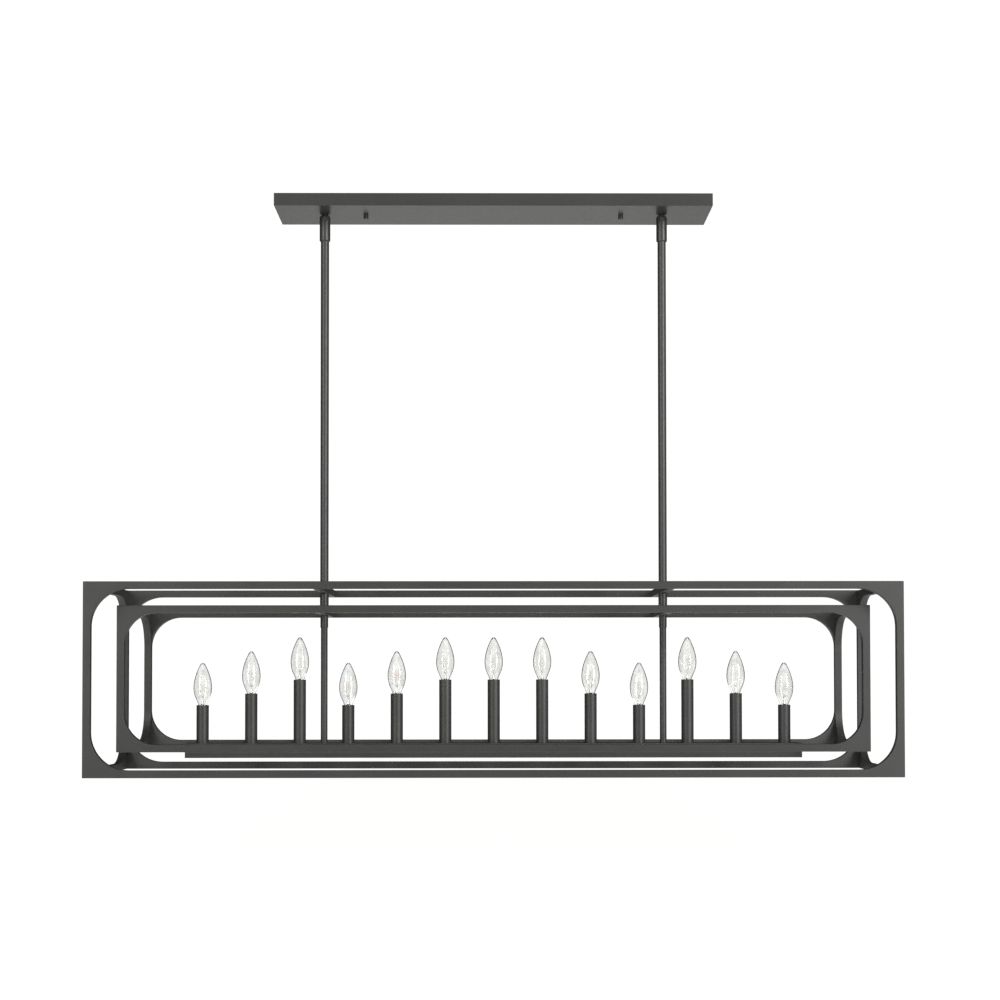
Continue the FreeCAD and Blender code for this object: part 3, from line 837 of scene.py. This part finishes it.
@dataclass
class Lamp:
    """A clear candle lamp: blown glass on a rolled screw cap, round a pressed stem.

    Outlines are rows of radius and height, and heights count from the sleeve's mouth.
    """

    number: int
    x: float
    top: float
    wall: float = 0.8
    cap_radius: float = 6.0
    cap_top: float = -7.5
    thread_top: float = -10.0
    thread_depth: float = 0.25
    thread_fade: float = 1.2
    pitch: float = 2.54
    turns: int = 4
    turn_rows: int = 12
    lead_radius: float = 0.25
    hook_radius: float = 0.14
    arch_reach: float = 4.2
    arch_foot: float = 27.0
    arch_rise: float = 9.0
    coil_radius: float = 0.28
    coil_wave: float = 0.09
    coil_rows: int = 97
    pinch_low: float = 6.0
    pinch: tuple[float, float] = (1.15, 0.7)
    glass_steps: int = 56
    cap_steps: int = 48
    stem_steps: int = 24
    outline: Outline = (
        (6.2, -7.5), (6.45, -5.0), (6.75, -3.0), (7.3, 0.0), (9.4, 6.0), (12.7, 13.5),
        (15.1, 21.5), (16.0, 30.0), (15.6, 38.0), (14.1, 46.0), (12.0, 53.5), (9.4, 60.5),
        (6.7, 66.5), (4.4, 71.0), (2.3, 73.7), (0.0, 74.7))
    ring: Outline = ((2.6, -23.8), (3.4, -23.5), (4.6, -22.4), (5.2, -20.96))
    contact: Outline = ((0.0, -25.0), (1.5, -24.95), (2.2, -24.6), (2.6, -23.8))
    stem: Outline = (
        (0.0, -7.4), (3.3, -7.4), (3.1, -3.0), (2.6, 2.0), (1.9, 6.0), (1.5, 9.0), (1.6, 13.0),
        (1.2, 15.0), (0.0, 15.0))
    lead: tuple[Point, ...] = ((0.9, 0.0, 12.0), (0.9, 0.0, 15.2), (2.6, 0.0, 21.5),
                               (4.2, 0.0, 27.0))
    hook: tuple[Point, ...] = ((0.0, 0.0, 14.0), (0.1, 0.0, 24.0), (-0.1, 0.0, 35.2))

    def glass(self) -> Surface:
        """Work out the hollow glass: its outline up to the tip, and back down a wall inside.

        The inner skin stands a wall's thickness nearer the axis, and sinks from nothing at the
        neck to a wall's thickness at the tip.

        Returns:
            The glass on the upright axis.
        """
        outside = np.array(self.outline)
        inside = outside - [self.wall, 0.0]
        inside[:, 1] -= self.wall * np.maximum(outside[:, 1], 0.0) / outside[-1, 1]
        inside[-1, 0] = 0.0
        inside[:, 0] = np.maximum(inside[:, 0], 0.0)
        inside = inside[np.r_[0:len(inside) - 2, len(inside) - 1]]
        profile = np.concatenate([smoothed(outside, count=5), smoothed(inside, count=5)[::-1],
                                  outside[:1]])
        profile[:, 0] = np.maximum(profile[:, 0], 0.0)
        return turned(profile, self.glass_steps)

    def cap(self) -> Surface:
        """Work out the cap: a rolled thread, a ring of black glass and a solder contact.

        At the height z and the angle v the thread's radius is the cap's, less the depth times
        1 - cos(2 pi z / pitch - v), and it fades to the plain radius at both ends.

        Returns:
            The cap on the upright axis: brass has the finish 0, black glass 1 and solder 2.
        """
        end = self.thread_top - self.turns * self.pitch
        z = np.linspace(end, self.thread_top, self.turns * self.turn_rows + 1)[:, None]
        v = around(self.cap_steps)[None]
        fade = np.clip(np.minimum(z - end, self.thread_top - z) / self.thread_fade, 0.0, 1.0)
        wave = self.thread_depth * (np.cos(2 * math.pi * z / self.pitch - v) - 1.0)
        r = self.cap_radius + wave * fade
        points = np.stack([r * np.cos(v), r * np.sin(v), np.broadcast_to(z, r.shape)], -1)
        thread = Surface(points.reshape(-1, 3), grid_faces(len(z), self.cap_steps, True))
        skirt, foot, ring, contact = (
            turned(np.array(rows), self.cap_steps)
            for rows in (((self.cap_radius, self.thread_top), (self.cap_radius, self.cap_top),
                          (0, self.cap_top)),
                         (self.ring[-1], (self.cap_radius, end)), self.ring, self.contact))
        return joined([thread, skirt, foot, ring.dressed(1), contact.dressed(2)])

    def mount(self) -> Surface:
        """Work out the stem, its two lead wires, a hook and the filament's coil.

        The stem is pinched flat over pinch_low. The coil stands for its windings by a radius that
        goes up and down along a half ellipse, whose point at the angle t is
        (reach cos t, 0, foot + rise sin t).

        Returns:
            The mount on the upright axis: glass has the finish 0, wires 1 and the coil 2.
        """
        stem = turned(smoothed(np.array(self.stem), count=3), self.stem_steps)
        stem.points[stem.points[:, 2] > self.pinch_low, :2] *= self.pinch
        legs = [smoothed(np.array(self.lead) * [side, 1, 1], count=4) for side in (-1, 1)]
        wires = [carried(leg, np.full(len(leg), self.lead_radius), steps=8) for leg in legs]
        hook = smoothed(np.array(self.hook), count=4)
        wires.append(carried(hook, np.full(len(hook), self.hook_radius), steps=6))
        t = np.linspace(math.pi, 0.0, self.coil_rows)
        arch = np.stack([self.arch_reach * np.cos(t), 0 * t,
                         self.arch_foot + self.arch_rise * np.sin(t)], -1)
        swell = self.coil_wave * np.cos(np.arange(self.coil_rows) * math.pi / 2)
        coil = carried(arch, self.coil_radius + swell, steps=8)
        return joined([stem, *(w.dressed(1) for w in wires), coil.dressed(2)])

    def build(self) -> None:
        """Make the lamp's three pieces on its own body."""
        name = f"lamp_{self.number:02d}"
        body = name + "_body"
        at = (self.x, 0.0, self.top)
        make_piece(name + "_glass", self.glass().moved(*at), body, [GLASS],
                   stands_for=(name,))
        make_piece(name + "_cap", self.cap().moved(*at), body,
                   [BRASS, VITRITE, SOLDER])
        make_piece(name + "_mount", self.mount().moved(*at), body,
                   [STEM_GLASS, LEAD_WIRE, TUNGSTEN])


@dataclass(frozen=True)
class SoftBox:
    """A lamp behind a rectangle of cloth, in metres and watts."""

    name: str
    place: Point
    size: tuple[float, float]
    watts: float
    aim: Point = (0.0, 0.0, -0.7)

    def hang(self) -> None:
        """Hang the box at its place, turned to its aim."""
        data = bpy.data.lights.new(self.name, "AREA")
        data.shape, data.size, data.size_y = "RECTANGLE", self.size[0], self.size[1]
        data.energy = self.watts
        made = bpy.data.objects.new(self.name, data)
        made.location = self.place
        look = Vector(self.aim) - Vector(self.place)
        made.rotation_euler = look.to_track_quat("-Z", "Y").to_euler()
        bpy.context.scene.collection.objects.link(made)


@dataclass
class Studio:
    """White paper, a white backdrop in a dim room, soft boxes and the camera, all in metres.

    Backdrop, surround and sheen are the room's strength for the camera, for its light and for
    what it mirrors in a shine. The paper's edges are its left, right, near and far one.
    """

    floor_z: float = -2.4
    backdrop: float = 1.05
    surround: float = 0.09
    sheen: float = 0.015
    paper_seen: float = 0.95
    paper_light: float = 0.6
    paper: tuple[float, float, float, float] = (-2.5, 2.5, -7.0, 40.0)
    lamp_depth: float = 3.5
    place: Point = (-0.010743, -3.177598, -0.841608)
    right: Point = (0.999976145, -0.006856812, -0.000832666)
    up: Point = (0.000647587, -0.026950126, 0.999636570)
    forward: Point = (0.006876760, 0.999613260, 0.026945040)
    lens: float = 65.0027
    sensor: float = 36.0
    shift_y: float = 0.12958
    clip: tuple[float, float] = (0.01, 200.0)
    boxes: tuple[SoftBox, ...] = (
        SoftBox("left_box", (-2.3, -2.8, 0.3), (0.9, 2.2), 72.0),
        SoftBox("right_box", (2.5, -2.7, 0.3), (0.9, 2.2), 140.0),
        SoftBox("front_box", (0.0, -3.4, 0.9), (2.0, 1.0), 5.0),
        SoftBox("top_strip", (0.0, -1.8, 1.8), (3.0, 0.6), 10.0))

    def camera(self) -> None:
        """Set the camera that took the photograph: its place, its turn, its lens and its shift."""
        data = bpy.data.cameras.new("camera")
        data.lens, data.sensor_width, data.shift_y = self.lens, self.sensor, self.shift_y
        data.clip_start, data.clip_end = self.clip
        data.dof.use_dof = False
        made = bpy.data.objects.new("camera", data)
        bpy.context.scene.collection.objects.link(made)
        turn = Matrix([self.right, self.up, [-v for v in self.forward]]).transposed()
        made.matrix_world = Matrix.Translation(self.place) @ turn.to_4x4()
        bpy.context.scene.camera = made

    def floor(self) -> None:
        """Lay the paper: a level strip that runs to the back, white where the camera sees it."""
        left, right, near, far = self.paper
        corners = [(left, near), (right, near), (right, far), (left, far)]
        points = np.array([(x, y, self.floor_z) for x, y in corners]) / MM
        mesh = write_mesh("studio_floor", Surface(points, np.array([[0, 1, 2, 3]])))
        paper = PAPER.material()
        tree = paper.node_tree
        shader = next(n for n in tree.nodes if n.type == "BSDF_PRINCIPLED")
        lit = mapped(tree, self.seen(tree), self.paper_light, self.paper_seen)
        tree.links.new(lit, shader.inputs["Emission Strength"])
        mesh.materials.append(paper)
        made = bpy.data.objects.new("studio_floor", mesh)
        bpy.context.scene.collection.objects.link(made)

    def seen(self, tree: bpy.types.NodeTree) -> bpy.types.NodeSocket:
        """Tell where the camera looks, straight or right through a lamp.

        A look right through crosses two walls, four surfaces. One that only skims a wall leaves
        it sooner, meets the dim room instead, and so draws the lamp's grey outline.

        Args:
            tree: Node tree that gets the nodes.

        Returns:
            A socket that is one for such a look and zero for any other light.
        """
        path = add_node(tree, "ShaderNodeLightPath")
        through = add_node(tree, "ShaderNodeMath",
                           {"operation": "GREATER_THAN", 1: self.lamp_depth},
                           {0: path.outputs["Transmission Depth"]})
        most = add_node(tree, "ShaderNodeMath", {"operation": "MAXIMUM"},
                        {0: path.outputs["Is Camera Ray"], 1: through.outputs[0]})
        return most.outputs[0]

    def surroundings(self) -> None:
        """Put a white backdrop behind everything, in a dim room that is darker in a shine."""
        world = bpy.data.worlds.new("studio_room")
        world.use_nodes = True
        tree = world.node_tree
        tree.nodes.clear()
        path = add_node(tree, "ShaderNodeLightPath")
        dim = mapped(tree, path.outputs["Is Glossy Ray"], self.surround, self.sheen)
        bright = add_node(tree, "ShaderNodeMapRange", {"To Max": self.backdrop},
                          {"Value": self.seen(tree), "To Min": dim})
        room = add_node(tree, "ShaderNodeBackground", {"Color": (1.0, 1.0, 1.0, 1.0)},
                        {"Strength": bright.outputs[0]})
        add_node(tree, "ShaderNodeOutputWorld", {}, {"Surface": room.outputs[0]})
        bpy.context.scene.world = world

    def build(self) -> None:
        """Set up the whole studio."""
        self.camera()
        self.floor()
        self.surroundings()
        for box in self.boxes:
            box.hang()
        bpy.context.scene.view_settings.view_transform = "Standard"


def main() -> None:
    """Build the studio and every sub-assembly in order."""
    logging.basicConfig(level=logging.INFO, format="%(name)s %(message)s")
    Studio().build()
    Cage("outer", length=1371.6, width=330.2, height=328.2, top=OUTER_TOP, radius=63.0).build()
    Cage("inner", length=1273.0, width=259.0, height=248.0, top=INNER_TOP, radius=54.0).build()
    Canopy().build()
    RodLine().build()
    tray = Tray()
    tray.build()
    for index, rise in enumerate(tray.rises):
        Lamp(index + 1, tray.place(index), rise.value).build()


if __name__ == "__main__":
    main()
